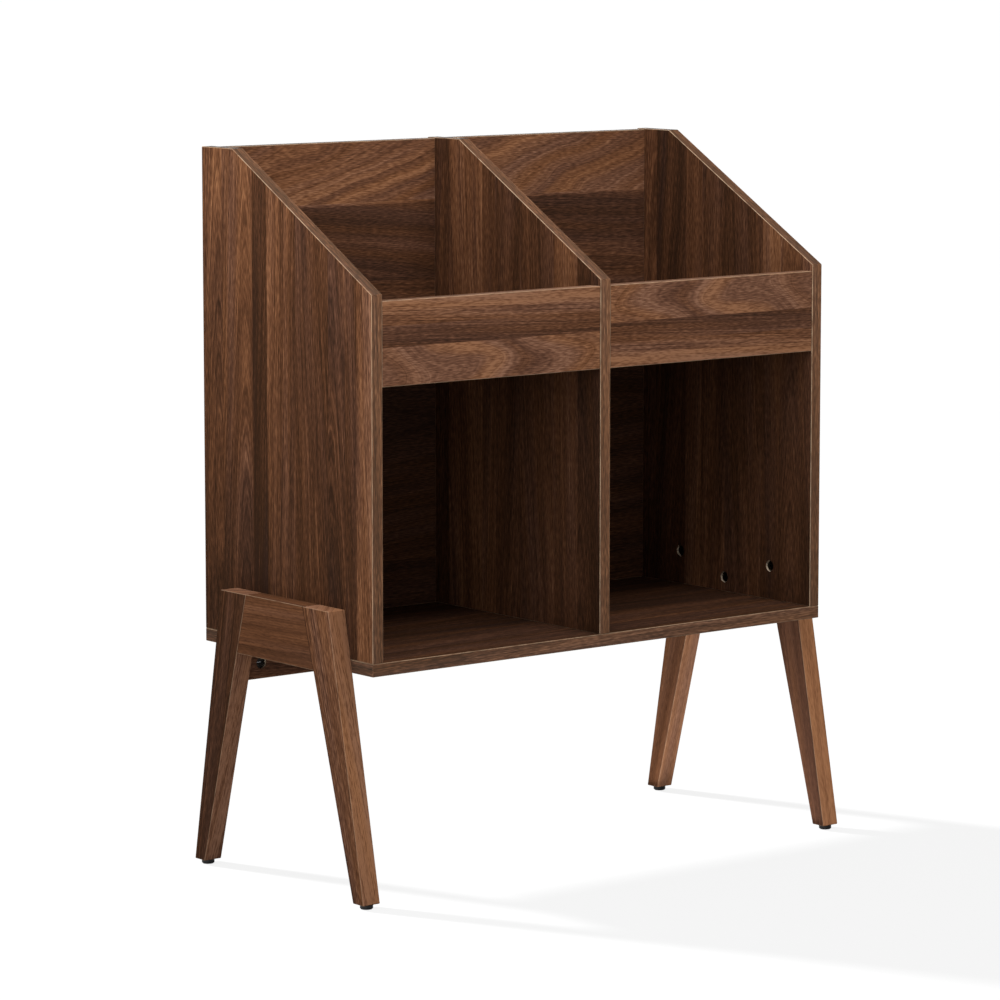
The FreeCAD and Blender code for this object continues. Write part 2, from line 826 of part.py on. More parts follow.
foot_insert = make_sleeve(
    "foot_insert",
    size.foot_insert_diameter,
    size.stem_diameter + size.running_clearance * 2,
    size.foot_insert_length,
)
insert = make_sleeve(
    "insert",
    size.insert_diameter,
    size.bolt_diameter + size.running_clearance * 2,
    size.insert_length,
)

foot_points = [point for sketch in foot_sketches.values() for point in hole_points(sketch)]
screw_points = hole_points(screw_sketch)
bolt_points = [(point, out) for sketch, out in trestle_bolt_sketches for point in hole_points(sketch)]
bolt_seats = [(point + out * float(size.counterbore_depth), out) for point, out in bolt_points]
insert_mouths = [(point + out * float(size.panel_thickness), out) for point, out in bolt_points]
BACKWARD = Vector(0, 1, 0)

bodies += [
    group("foot_inserts", foot_insert, [(point, Rotation()) for point in foot_points]),
    group("trestle_bolts", make_bolt(), [(point, Rotation(UP, out)) for point, out in bolt_seats]),
    group("trestle_inserts", insert, [(point, Rotation(UP, out)) for point, out in insert_mouths]),
    group("bottom_screws", make_screw(), [(point, Rotation()) for point in screw_points]),
    group(
        "cam_locks",
        make_cam(),
        [(point, Rotation(out, Vector(), face, "ZXY")) for point, out, face in cam_spots],
    ),
    group("cam_bolts", make_cam_bolt(), [(point, Rotation(UP, out)) for point, out in single_bolt_spots]),
    group(
        "divider_cam_bolts",
        make_double_bolt(),
        [(point, Rotation(UP, RIGHT)) for point in double_bolt_spots],
    ),
    group("crosspiece_dowels", make_dowel(), [(point, Rotation(UP, BACKWARD)) for point in dowel_spots]),
]
doc.recompute()

# Check every object and shape, then write one file per sub-part
for item in doc.Objects:
    if {"Invalid", "Error"} & set(item.State):
        raise RuntimeError(f"{item.Label} failed: {item.State}")
for node in bodies:
    if node.Shape.isNull() or not node.Shape.isValid():
        raise RuntimeError(f"{node.Label} has no valid shape")

os.makedirs("parts", exist_ok=True)
for node in bodies:
    node.Shape.exportStep(f"parts/{node.Label}.step")
    print(node.Label, len(node.Shape.Solids), round(node.Shape.Volume))
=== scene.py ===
"""Looks of the record storage bench: walnut veneer, walnut trestles, black feet and zinc hardware."""

from math import radians

import bpy
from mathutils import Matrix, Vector


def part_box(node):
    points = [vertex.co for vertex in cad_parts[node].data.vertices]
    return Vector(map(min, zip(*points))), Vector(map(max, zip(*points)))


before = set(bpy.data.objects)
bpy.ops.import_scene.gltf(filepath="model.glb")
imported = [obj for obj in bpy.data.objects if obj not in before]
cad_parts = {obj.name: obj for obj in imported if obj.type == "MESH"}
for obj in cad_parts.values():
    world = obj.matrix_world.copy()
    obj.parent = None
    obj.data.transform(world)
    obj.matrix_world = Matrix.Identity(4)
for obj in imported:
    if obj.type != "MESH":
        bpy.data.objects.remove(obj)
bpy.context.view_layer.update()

X = Vector((1.0, 0.0, 0.0))
Y = Vector((0.0, 1.0, 0.0))
Z = Vector((0.0, 0.0, 1.0))


# Fields: formulas that become shader nodes

def plug(tree, socket, value):
    """Feeds a socket from a field, or sets it to a plain value."""
    if isinstance(value, Field):
        tree.links.new(value.socket, socket)
    else:
        socket.default_value = value


class Field:
    """A value that varies over a surface. Sums and products of fields add the nodes that work them out."""

    def __init__(self, tree, socket):
        self.tree = tree
        self.socket = socket

    def math(self, operation, *others):
        node = self.tree.nodes.new("ShaderNodeMath")
        node.operation = operation
        for socket, value in zip(node.inputs, (self,) + others):
            plug(self.tree, socket, value)
        return Field(self.tree, node.outputs[0])

    def __add__(self, other):
        return self.math("ADD", other)

    def __sub__(self, other):
        return self.math("SUBTRACT", other)

    def __mul__(self, other):
        return self.math("MULTIPLY", other)

    def __truediv__(self, other):
        return self.math("DIVIDE", other)

    def rest(self):
        """One minus the field."""
        return self.math("MULTIPLY_ADD", -1.0, 1.0)

    def step(self, low, high):
        """Rises smoothly from 0 at low to 1 at high."""
        node = self.tree.nodes.new("ShaderNodeMapRange")
        node.interpolation_type = "SMOOTHSTEP"
        for name, value in (("Value", self), ("From Min", low), ("From Max", high)):
            plug(self.tree, node.inputs[name], value)
        return Field(self.tree, node.outputs[0])

    def dot(self, vector):
        node = self.tree.nodes.new("ShaderNodeVectorMath")
        node.operation = "DOT_PRODUCT"
        plug(self.tree, node.inputs[0], self)
        plug(self.tree, node.inputs[1], vector)
        return Field(self.tree, node.outputs["Value"])

    def cross(self, vector):
        node = self.tree.nodes.new("ShaderNodeVectorMath")
        node.operation = "CROSS_PRODUCT"
        plug(self.tree, node.inputs[0], self)
        plug(self.tree, node.inputs[1], vector)
        return Field(self.tree, node.outputs["Vector"])

    def ramp(self, stops, interpolation="LINEAR"):
        """Looks the field up in a list of (place, colour)."""
        node = self.tree.nodes.new("ShaderNodeValToRGB")
        node.color_ramp.interpolation = interpolation
        elements = node.color_ramp.elements
        while len(elements) < len(stops):
            elements.new(1.0)
        for element, (place, colour) in zip(elements, stops):
            element.position = place
            element.color = (*colour, 1.0)
        plug(self.tree, node.inputs[0], self)
        return Field(self.tree, node.outputs["Color"])

    def tinted(self, tint):
        """The colour times another colour."""
        node = self.tree.nodes.new("ShaderNodeMix")
        node.data_type = "RGBA"
        node.blend_type = "MULTIPLY"
        for socket, value in zip(node.inputs[:1] + node.inputs[6:8], (1.0, self, tint)):
            plug(self.tree, socket, value)
        return Field(self.tree, node.outputs[2])

    def parts(self):
        """The three parts of a vector or a colour."""
        node = self.tree.nodes.new("ShaderNodeSeparateXYZ")
        plug(self.tree, node.inputs[0], self)
        return [Field(self.tree, socket) for socket in node.outputs]

    def choose(self, low, high):
        """The number low where the field is 0, and high where it is 1."""
        node = self.tree.nodes.new("ShaderNodeMix")
        for socket, value in zip(node.inputs[:1] + node.inputs[2:4], (self, low, high)):
            plug(self.tree, socket, value)
        return Field(self.tree, node.outputs[0])

    def blend(self, low, high):
        """The colour low where the field is 0, and high where it is 1."""
        node = self.tree.nodes.new("ShaderNodeMix")
        node.data_type = "RGBA"
        for socket, value in zip(node.inputs[:1] + node.inputs[6:8], (self, low, high)):
            plug(self.tree, socket, value if isinstance(value, Field) else (*value, 1.0))
        return Field(self.tree, node.outputs[2])


def noise(x, y, z, detail=0.0, roughness=0.5):
    """Smooth noise about 0 at a point given as three fields or numbers, x a field."""
    tree = x.tree
    point = tree.nodes.new("ShaderNodeCombineXYZ")
    for socket, value in zip(point.inputs, (x, y, z)):
        plug(tree, socket, value)
    texture = tree.nodes.new("ShaderNodeTexNoise")
    texture.inputs["Scale"].default_value = 1.0
    texture.inputs["Detail"].default_value = detail
    texture.inputs["Roughness"].default_value = roughness
    tree.links.new(point.outputs[0], texture.inputs["Vector"])
    return Field(tree, texture.outputs[0]) - 0.5


def noise_at(place, scales, detail):
    """Noise at a place, with a scale for each direction."""
    x, y, z = (part * scale for part, scale in zip(place.parts(), scales))
    return noise(x, y, z, detail)


def scatter(value):
    """An even random number from 0 to 1 for each value."""
    node = value.tree.nodes.new("ShaderNodeTexWhiteNoise")
    node.noise_dimensions = "1D"
    plug(value.tree, node.inputs["W"], value)
    return Field(value.tree, node.outputs["Value"])


# Walnut: one group works out its figure from a place along and across the grain

WALNUT_RAMP = (
    (0.0, (0.035, 0.0172, 0.0104)),
    (0.25, (0.0595, 0.0272, 0.0152)),
    (0.5, (0.100, 0.0436, 0.0236)),
    (0.75, (0.168, 0.0752, 0.0395)),
    (1.0, (0.283, 0.1380, 0.0740)),
)
WALNUT_INPUTS = ("Along", "Across", "Tone", "Seed", "Pith", "Swirl", "Fleck", "Lines", "Warmth")
SEED_SPREAD = 37.0
PITH_SPREAD = 0.30
PITH_DEPTH = 0.018
TRUNK_TAPER = 0.035
SWIRL_TAPER = 0.36
RING_WIDTH = 0.0042
COOL_TINT = (0.95, 0.98, 1.10)
WARM_TINT = (1.06, 0.99, 0.86)

# Noises of the figure: scale along the grain, scale across it, seed step, detail and roughness
SLOW = (2.2, 9.0, 0.0, 0.0, 0.5)
BEND = (9.0, 16.0, 5.0, 1.0, 0.5)
RIPPLE = (22.0, 90.0, 11.0, 0.0, 0.5)
LATE_GAPS = (7.0, 130.0, 19.0, 0.0, 0.5)
BROAD = (1.3, 42.0, 3.0, 1.0, 0.5)
STREAK = (2.6, 190.0, 4.0, 2.0, 0.6)
FIBRE = (7.0, 640.0, 7.0, 2.0, 0.7)
FLECK = (120.0, 860.0, 23.0, 0.0, 0.5)
BANDS = (2.0, 180.0, 29.0, 1.0, 0.5)
PORES = (75.0, 1100.0, 13.0, 0.0, 0.5)
WARMTH = (2.5, 45.0, 17.0, 1.0, 0.5)

# How far the rings wander, in metres: always, and more where the figure swirls
SLOW_REACH = 0.012
SLOW_SWIRL_REACH = 0.05
BEND_SWIRL_REACH = 0.045
RIPPLE_REACH = 0.0012
UNEVEN_SCALE = 70.0
UNEVEN_RINGS = 1.6

# Late wood within a ring, as shares of its width, and the steps of the noises
LATE_START = 0.25
LATE_END = 0.88
LATE_GAP_STEP = (-0.22, 0.26)
PORE_STEP = (0.12, 0.24)
WARMTH_STEP = (-0.25, 0.25)

# Weights of the noises in the tone
BROAD_WEIGHT = 0.60
STREAK_WEIGHT = 0.60
FIBRE_WEIGHT = 1.30
LATE_WEIGHT = 0.18
BANDS_WEIGHT = 0.60
FLECK_WEIGHT = 0.70
PORE_WEIGHT = 0.12
TONE_SHIFT = 0.05
SWIRL_CALM = 0.62

# Weights of fibre, pores and late wood in the roughness and in the height
WOOD_ROUGHNESS = 0.50
FIBRE_ROUGHNESS = 0.25
PORE_ROUGHNESS = 0.12
LATE_ROUGHNESS = -0.06
FIBRE_HEIGHT = 0.5
PORE_HEIGHT = 0.8
LATE_HEIGHT = 0.25


def figure(along, over, shift, kind):
    """One of the noises of the figure, at a place along and across the grain."""
    along_scale, over_scale, seed_step, detail, roughness = kind
    return noise(along * along_scale, over * over_scale, shift + seed_step, detail, roughness)


def make_walnut_group():
    """The node group that gives colour, roughness and height of walnut."""
    tree = bpy.data.node_groups.new("walnut_figure", "ShaderNodeTree")
    for name in WALNUT_INPUTS:
        tree.interface.new_socket(name, in_out="INPUT", socket_type="NodeSocketFloat")
    tree.interface.new_socket("Colour", in_out="OUTPUT", socket_type="NodeSocketColor")
    tree.interface.new_socket("Roughness", in_out="OUTPUT", socket_type="NodeSocketFloat")
    tree.interface.new_socket("Height", in_out="OUTPUT", socket_type="NodeSocketFloat")
    given = tree.nodes.new("NodeGroupInput")
    inputs = [Field(tree, given.outputs[name]) for name in WALNUT_INPUTS]
    along, across, tone, seed, pith, swirl, flecked, lined, bias = inputs
    shift = seed * SEED_SPREAD

    slow = figure(along, across, shift, SLOW)
    bend = figure(along, across, shift, BEND)
    ripple = figure(along, across, shift, RIPPLE)
    offset = across - (pith - 0.5) * PITH_SPREAD
    radius = (offset * offset + PITH_DEPTH ** 2).math("SQRT")
    radius = radius + along * (swirl * SWIRL_TAPER + TRUNK_TAPER)
    radius = radius + slow * (swirl * SLOW_SWIRL_REACH + SLOW_REACH)
    radius = radius + bend * swirl * BEND_SWIRL_REACH + ripple * RIPPLE_REACH
    uneven = noise(radius * UNEVEN_SCALE, shift, 0.0) * UNEVEN_RINGS
    rings = radius / RING_WIDTH + uneven
    place = rings.math("FRACT")
    late = place.step(LATE_START, LATE_END) * place.step(LATE_END, 1.0).rest()
    late = late * scatter(rings.math("FLOOR") + shift)
    late = late * figure(along, radius, shift, LATE_GAPS).step(*LATE_GAP_STEP)

    broad = figure(along, radius, shift, BROAD)
    streak = figure(along, radius, shift, STREAK)
    fibre = figure(along, radius, shift, FIBRE) * flecked
    fleck = figure(along, across, shift, FLECK) * flecked
    bands = figure(along, radius, shift, BANDS) * swirl
    pore = figure(along, across, shift, PORES).step(*PORE_STEP)
    warmth = (figure(along, radius, shift, WARMTH) + bias).step(*WARMTH_STEP)

    plain = (swirl * SWIRL_CALM).rest()
    lines = (streak * STREAK_WEIGHT + fibre * FIBRE_WEIGHT - late * LATE_WEIGHT) * plain * lined
    light = tone + broad * BROAD_WEIGHT + lines + bands * BANDS_WEIGHT
    light = light + fleck * FLECK_WEIGHT - pore * PORE_WEIGHT + TONE_SHIFT
    colour = light.ramp(WALNUT_RAMP).tinted(warmth.blend(COOL_TINT, WARM_TINT))
    roughness = fibre * FIBRE_ROUGHNESS + pore * PORE_ROUGHNESS + late * LATE_ROUGHNESS + WOOD_ROUGHNESS
    height = fibre * FIBRE_HEIGHT - pore * PORE_HEIGHT - late * LATE_HEIGHT

    result = tree.nodes.new("NodeGroupOutput")
    for name, field in (("Colour", colour), ("Roughness", roughness), ("Height", height)):
        plug(tree, result.inputs[name], field)
    return tree


walnut_group = make_walnut_group()


def walnut(tree, *values):
    """Colour, roughness and height of walnut, for the values that its group takes."""
    node = tree.nodes.new("ShaderNodeGroup")
    node.node_tree = walnut_group
    for socket, value in zip(node.inputs, values):
        plug(tree, socket, value)
    return [Field(tree, socket) for socket in node.outputs]


# Materials

def new_material(name):
    """A material, its nodes and its shader."""
    material = bpy.data.materials.new(name)
    material.use_nodes = True
    tree = material.node_tree
    shader = next(node for node in tree.nodes if node.type == "BSDF_PRINCIPLED")
    return material, tree, shader


def surface(tree):
    """Place and true normal of the surface, both in the frame of the model."""
    place = Field(tree, tree.nodes.new("ShaderNodeTexCoord").outputs["Object"])
    normal = Field(tree, tree.nodes.new("ShaderNodeNewGeometry").outputs["True Normal"])
    return place, normal


def emboss(tree, shader, height, distance):
    """Raises the look of the surface by a field. The distance, in metres, is for a field of 1."""
    bump = tree.nodes.new("ShaderNodeBump")
    bump.inputs["Distance"].default_value = distance
    plug(tree, bump.inputs["Height"], height)
    tree.links.new(bump.outputs["Normal"], shader.inputs["Normal"])


def dress(node, material):
    """Gives a node of the CAD its material."""
    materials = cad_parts[node].data.materials
    materials.clear()
    materials.append(material)


LEAST_FACE = 5e-5
ON_HULL = 5e-5
SQUARE = 0.05
SAME_PLANE = 0.9999
SAME_SIDE = 0.999


def outline_planes(node, thickness):
    """Normals and offsets of the large outer faces of a node that stand square to its thickness."""
    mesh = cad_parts[node].data
    normals = dict.fromkeys(tuple(round(part, 3) for part in polygon.normal) for polygon in mesh.polygons
                            if abs(polygon.normal.dot(thickness)) < SQUARE)
    planes = []
    for rounded in normals:
        normal = Vector(rounded).normalized()
        offset = max(vertex.co.dot(normal) for vertex in mesh.vertices)
        close = sum(p.area for p in mesh.polygons
                    if p.normal.dot(normal) > SAME_PLANE and offset - p.center.dot(normal) < ON_HULL)
        if close > LEAST_FACE and all(normal.dot(n) < SAME_SIDE for n, _ in planes):
            planes.append((normal, offset))
    return planes


# Arris: a painted highlight in a pale colour along the outer edges, broken up by wear noise
ARRIS_WIDTH = 0.0010
ARRIS_FULL = 0.3
ARRIS_HIGHLIGHT_COLOUR = (0.56, 0.40, 0.26)
HIGHLIGHT_WEAR_SCALES = (60.0, 60.0, 60.0)
HIGHLIGHT_WEAR_STEP = (-0.42, 0.18)
CORE_DEPTH = 0.0006
CORE_FULL = 1.3
CORE_COLOUR = (0.82, 0.68, 0.52)
CORE_SPECK = (0.52, 0.40, 0.28)
CHIP_SCALES = (900.0, 900.0, 900.0)
CHIP_STEP = (-0.15, 0.2)
# Seam: a dark line where a piece is joined, partly a seam and partly painted shade of the joint
SEAM_WIDTH = 0.0010
SEAM_SHADE_COLOUR = (0.016, 0.008, 0.005)
SEAM_SHADE_STRENGTH = 0.75
JOINED_FACING = 0.5
WOOD_SHEEN = 0.002
# Edge sheen: a pale grey painted into the edge band as a painted reflection
EDGE_PAINTED_SHEEN = 0.05
PAINTED_SHEEN_COLOUR = (0.38, 0.36, 0.28)
GRAIN_DEPTH = 0.00012


def edge_fields(place, node, thickness, joined=None):
    """How near a point is to an outer arris, whether it is on a hole's wall inside the board, and how near
    it is to a face that is joined to another piece. Joined faces are those across the joined direction."""
    low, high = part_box(node)
    middle = (low + high) / 2
    half = abs((high - low).dot(thickness)) / 2
    through = (place.dot(thickness) - middle.dot(thickness)).math("ABSOLUTE") - half
    outline, ends = None, None
    for normal, offset in outline_planes(node, thickness):
        side = place.dot(normal) - offset
        if joined and abs(normal.dot(joined)) > JOINED_FACING:
            ends = side if ends is None else ends.math("MAXIMUM", side)
        else:
            outline = side if outline is None else outline.math("MAXIMUM", side)
    arris = through.math("MINIMUM", outline).step(-ARRIS_WIDTH, -ARRIS_FULL * ARRIS_WIDTH)
    inside = through.math("MAXIMUM", outline).step(-CORE_DEPTH, -CORE_FULL * CORE_DEPTH)
    seam_and_shade = ends.step(-SEAM_WIDTH, -ARRIS_FULL * SEAM_WIDTH) if ends else None
    return arris, inside, seam_and_shade


def finish_wood(tree, shader, grain, arris, arris_highlight_strength, inside=None, seam_and_shade=None):
    """Joins colour, a painted highlight with wear along the edges, raw core, dark seams with painted shade
    and bump to the shader.
    """
    place, _ = surface(tree)
    colour, roughness, height = grain
    # Painted highlight: the arrises turn pale where the wear noise lets them
    wear_and_highlight = noise_at(place, HIGHLIGHT_WEAR_SCALES, detail=2.0).step(*HIGHLIGHT_WEAR_STEP)
    colour = (arris * wear_and_highlight * arris_highlight_strength).blend(colour, ARRIS_HIGHLIGHT_COLOUR)
    if inside is not None:
        chips = noise_at(place, CHIP_SCALES, detail=1.0).step(*CHIP_STEP)
        colour = inside.blend(colour, chips.blend(CORE_SPECK, CORE_COLOUR))
    # Painted shade: a dark seam line at joined faces
    if seam_and_shade is not None:
        colour = (seam_and_shade * SEAM_SHADE_STRENGTH).blend(colour, SEAM_SHADE_COLOUR)
    plug(tree, shader.inputs["Base Color"], colour)
    plug(tree, shader.inputs["Roughness"], roughness)
    shader.inputs["Specular IOR Level"].default_value = WOOD_SHEEN
    emboss(tree, shader, height, GRAIN_DEPTH)


FACE_STEP = (0.6, 0.8)
FACE_SEED = 0.21
EDGE_SEED = 0.77
EDGE_PITH = 0.05
PAINTED_LIGHT_FADE_SHIFT = 1.0
STRIP_GAP = 0.002
STRIP_SEED = 0.11
STRIP_SEED_STEP = 0.37
# Painted shade: tone taken off sloping and level top edges
SLOPE_STEP = (0.1, 0.6)
LEVEL_STEP = (0.90, 0.99)
SLOPE_PAINTED_SHADE = 0.14
CREST_PAINTED_SHADE = 0.36
# End bands darker: partly end grain, partly painted shade
END_GRAIN_AND_PAINTED_SHADE = 0.24


def strip_ramps(strips):
    """Stops for tone and painted light fade, and for seed, pith and swirl, of strips as in the tables below.
    A ramp takes no value under 0, so the painted fades are shifted up."""
    tones, kinds = [], []
    ends = [strip[0] for strip in strips[1:]] + [1.0]
    for count, ((start, tone, last, painted_light_fade, pith, swirl), end) in enumerate(zip(strips, ends)):
        tones.append((start, (tone, painted_light_fade + PAINTED_LIGHT_FADE_SHIFT, 0.0)))
        tones.append((end - STRIP_GAP, (last, painted_light_fade + PAINTED_LIGHT_FADE_SHIFT, 0.0)))
        kinds.append((start, ((count * STRIP_SEED_STEP + STRIP_SEED) % 1.0, pith, swirl)))
    return tones, kinds


def veneer_material(node, grain, across, thickness, strips, edge_tone, lines=1.0, wear_and_highlight=0.6, painted_shade=0.0,
                    warmth=0.0, turn=1.0, seed=0.0):
    """A board with veneer strips on its two faces, a band along its edges and raw core inside its holes.
    Painted shade makes sloping and level top edges darker, as if less light fell on them."""
    material, tree, shader = new_material(node + "_veneer")
    place, normal = surface(tree)
    low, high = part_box(node)
    middle = (low + high) / 2
    half = abs((high - low).dot(across)) / 2
    facing = normal.dot(thickness)
    face = facing.math("ABSOLUTE").step(*FACE_STEP)
    side = facing.math("SIGN") * -turn
    along = (place.dot(grain) - middle.dot(grain)) * turn
    over = (place.dot(across) - middle.dot(across)) * side
    tones, kinds = strip_ramps(strips)
    share = (over / half) * 0.5 + 0.5
    tone, painted_light_fade, _ = share.ramp(tones).parts()
    # Painted light and shade: the fade makes the tone lighter or darker along the grain
    tone = tone + (painted_light_fade - PAINTED_LIGHT_FADE_SHIFT) * along
    kind_seed, pith, swirl = share.ramp(kinds, "CONSTANT").parts()
    edge_along = place.dot(normal.cross(thickness))
    edge_over = place.dot(thickness) - middle.dot(thickness)
    rise = normal.dot(Z)
    # End bands darker: partly end grain, partly painted shade
    end = normal.dot(grain).math("ABSOLUTE").step(*LEVEL_STEP)
    # Painted shade: sloping and level top edges darker
    edge_tones_and_painted_shade = (rise.step(*SLOPE_STEP) * SLOPE_PAINTED_SHADE + rise.step(*LEVEL_STEP) * CREST_PAINTED_SHADE) * -painted_shade
    edge_tones_and_painted_shade = edge_tones_and_painted_shade - end * END_GRAIN_AND_PAINTED_SHADE + edge_tone
    grain_fields = walnut(
        tree,
        face.choose(edge_along, along),
        face.choose(edge_over, over),
        face.choose(edge_tones_and_painted_shade, tone),
        face.choose(EDGE_SEED, kind_seed) + facing * FACE_SEED + seed,
        face.choose(EDGE_PITH, pith),
        face.choose(0.0, swirl),
        1.0,
        lines,
        warmth,
    )
    # Painted sheen: pale grey mixed into the edge band as a painted reflection
    grain_fields[0] = (face.rest() * EDGE_PAINTED_SHEEN).blend(grain_fields[0], PAINTED_SHEEN_COLOUR)
    arris, inside, _ = edge_fields(place, node, thickness)
    finish_wood(tree, shader, grain_fields, arris, wear_and_highlight, inside)
    dress(node, material)


SIDE_SEED = 0.4
SOLID_WEAR_AND_HIGHLIGHT = 0.35


def solid_material(node, grain, thickness, seed, fleck, lines, sides, fronts, joined=None):
    """A stick of walnut, its grain along it and round its corners. Sides and fronts are (tone, warmth), which
    may differ as painted light and shade.
    """
    material, tree, shader = new_material(node + "_walnut")
    place, normal = surface(tree)
    across = grain.cross(thickness)
    over = place.dot(across + thickness)
    side = normal.dot(thickness).math("ABSOLUTE").step(*FACE_STEP)
    # Painted light: fronts and sides get their own tone and warmth, as lit and shaded copies of one wood
    tone, warmth = (side.choose(front, other) for front, other in zip(fronts, sides))
    seeds = side * SIDE_SEED + seed
    grain_fields = walnut(tree, place.dot(grain), over, tone, seeds, EDGE_PITH, 0.0, fleck, lines, warmth)
    arris, _, seam_and_shade = edge_fields(place, node, thickness, joined)
    finish_wood(tree, shader, grain_fields, arris, SOLID_WEAR_AND_HIGHLIGHT, seam_and_shade=seam_and_shade)
    dress(node, material)


# Panels: a strip is its start as a share from the front or the bottom, its tone, its end tone, its fade along
# the grain (painted light and shade: the tone grows lighter further along the grain where the fade is above
# 0), the share where the pith lies, and its swirl

UPRIGHT_STRIPS = {
    "left_side_panel": (
        (0.0, 0.84, 0.62, 0.15, 0.05, 0.0),
        (0.09, 0.34, 0.34, 0.45, 0.12, 0.0),
        (0.15, 0.41, 0.26, 1.0, 0.20, 0.1),
        (0.249, 0.27, 0.46, 0.45, 0.9, 0.05),
        (0.33, 0.39, 0.33, 0.40, 0.85, 0.05),
        (0.44, 0.32, 0.48, 0.30, 0.10, 0.0),
        (0.485, 0.46, 0.46, 0.35, 0.10, 0.0),
        (0.610, 0.08, 0.08, 0.60, 0.03, 0.0),
        (0.696, 0.34, 0.40, 0.85, 0.78, 0.05),
        (0.876, 0.32, 0.30, 0.85, 0.97, 0.0),
    ),
    "center_divider": (
        (0.0, 0.26, 0.30, 0.5, 0.05, 0.0),
        (0.129, 0.58, 0.52, 0.5, 0.97, 0.0),
        (0.258, 0.48, 0.44, -0.4, 0.6, 0.05),
        (0.456, 0.38, 0.36, -0.4, 0.2, 0.05),
        (0.598, 0.48, 0.50, -0.4, 0.05, 0.0),
        (0.675, 0.68, 0.54, -0.2, 0.97, 0.0),
        (0.875, 0.29, 0.25, -0.3, 0.1, 0.0),
    ),
    "right_side_panel": (
        (0.0, 0.53, 0.57, 1.2, 0.05, 0.0),
        (0.175, 0.59, 0.51, 1.2, 0.9, 0.0),
        (0.277, 0.40, 0.36, -0.4, 0.7, 0.05),
        (0.477, 0.39, 0.41, -0.6, 0.2, 0.0),
        (0.616, 0.57, 0.52, -0.5, 0.05, 0.0),
        (0.710, 0.23, 0.21, -0.3, 0.5, 0.1),
        (0.882, 0.40, 0.38, 0.1, 0.95, 0.0),
    ),
}
BOARD_STRIPS = (
    (0.0, 0.75, 0.75, 0.0, 0.41, 1.0),
    (0.455, 0.38, 0.50, 0.0, 0.03, 0.0),
    (0.70, 0.52, 0.84, 0.0, 0.03, 0.0),
)
BACK_STRIPS = (
    (0.0, 0.30, 0.30, 0.0, 0.1, 0.0),
    (0.10, 0.37, 0.22, 0.0, 0.9, 0.1),
    (0.30, 0.27, 0.16, 0.0, 0.3, 0.1),
    (0.53, 0.36, 0.38, 0.0, 0.05, 0.0),
    (0.71, 0.34, 0.28, 0.0, 0.9, 0.1),
    (0.868, 0.74, 0.60, 0.0, 1.62, 0.9),
)
# Floors: tones kept low, partly the veneer's own tone and partly painted shade of the cubbies and bins
FLOOR_STRIPS = (
    (0.0, 0.30, 0.26, 0.0, 0.05, 0.0),
    (0.14, 0.16, 0.20, 0.0, 0.9, 0.1),
    (0.32, 0.32, 0.28, 0.0, 0.2, 0.1),
    (0.49, 0.14, 0.18, 0.0, 0.95, 0.0),
    (0.66, 0.22, 0.28, 0.0, 0.5, 0.1),
    (0.84, 0.20, 0.18, 0.0, 0.05, 0.0),
)
RAIL_STRIPS = (
    (0.0, 0.42, 0.46, 0.0, 0.1, 0.1),
)

# Uprights: edge tone, lines, painted highlight with wear, and painted shade of top edges

UPRIGHT_LOOKS = {
    "left_side_panel": (0.62, 1.0, 0.7, 1.0),
    "center_divider": (0.70, 0.70, 0.9, 1.0),
    "right_side_panel": (0.66, 0.70, 0.9, 1.0),
}
for node, strips in UPRIGHT_STRIPS.items():
    veneer_material(node, Z, Y, X, strips, *UPRIGHT_LOOKS[node], warmth=0.1)
for node, turn in (("left_front_board", 1.0), ("right_front_board", -1.0)):
    veneer_material(node, X, Z, Y, BOARD_STRIPS, edge_tone=0.62, lines=0.85, warmth=-0.08, turn=turn)
for node, seed in (("left_back_panel", 0.0), ("right_back_panel", 0.09)):
    veneer_material(node, X, Z, Y, BACK_STRIPS, edge_tone=0.56, lines=0.6, painted_shade=1.0, seed=seed)
veneer_material("rear_stretcher", X, Z, Y, RAIL_STRIPS, edge_tone=0.45, seed=0.19)
for node, seed in (("bottom_panel", 0.0), ("left_bin_floor", 0.31), ("right_bin_floor", 0.57)):
    veneer_material(node, X, Y, Z, FLOOR_STRIPS, edge_tone=0.58, seed=seed)


# Trestles

def lean_of(node):
    """The direction along a leg: half way between its two long slanting faces."""
    sides = sorted(outline_planes(node, X), key=lambda plane: abs(plane[0].z))[:2]
    first, second = (X.cross(normal) for normal, _ in sides)
    if first.dot(second) < 0:
        second = -second
    return (first + second).normalized()


# Legs: seed, fleck, lines, then tone and warmth of the sides and of the fronts; fronts lighter and sides
# darker as painted light

LEG_LOOKS = {
    "left_front_leg": (0.13, 1.0, 1.0, (0.59, 0.0), (1.0, 0.0)),
    "left_back_leg": (0.34, 0.8, 1.0, (0.22, 0.0), (0.84, -0.2)),
    "right_front_leg": (0.55, 0.5, 0.6, (0.53, -0.3), (0.92, 0.3)),
    "right_back_leg": (0.76, 0.5, 0.6, (0.59, 0.1), (0.94, 0.0)),
}
for node, look in LEG_LOOKS.items():
    solid_material(node, lean_of(node), X, *look)
CROSSPIECE_LOOK = (0.51, 0.2)
for node, seed in (("left_crosspiece", 0.35), ("right_crosspiece", 0.68)):
    solid_material(node, Y, X, seed, fleck=0.4, lines=1.0,
                   sides=CROSSPIECE_LOOK, fronts=CROSSPIECE_LOOK, joined=Y)


# Feet and hardware

PLASTIC_GRAIN = (3000.0, 3000.0, 3000.0)
PLASTIC_SCUFFS = (250.0, 250.0, 600.0)
PLASTIC_DEPTH = 0.00008
METAL_SPANGLES = (900.0, 900.0, 900.0)
METAL_SCRATCHES = (400.0, 6000.0, 6000.0)
METAL_DEPTH = 0.00003
DOWEL_ALONG = 80.0
DOWEL_ACROSS = 2000.0
DOWEL_DEPTH = 0.0001
DOWEL_ROUGHNESS = 0.62


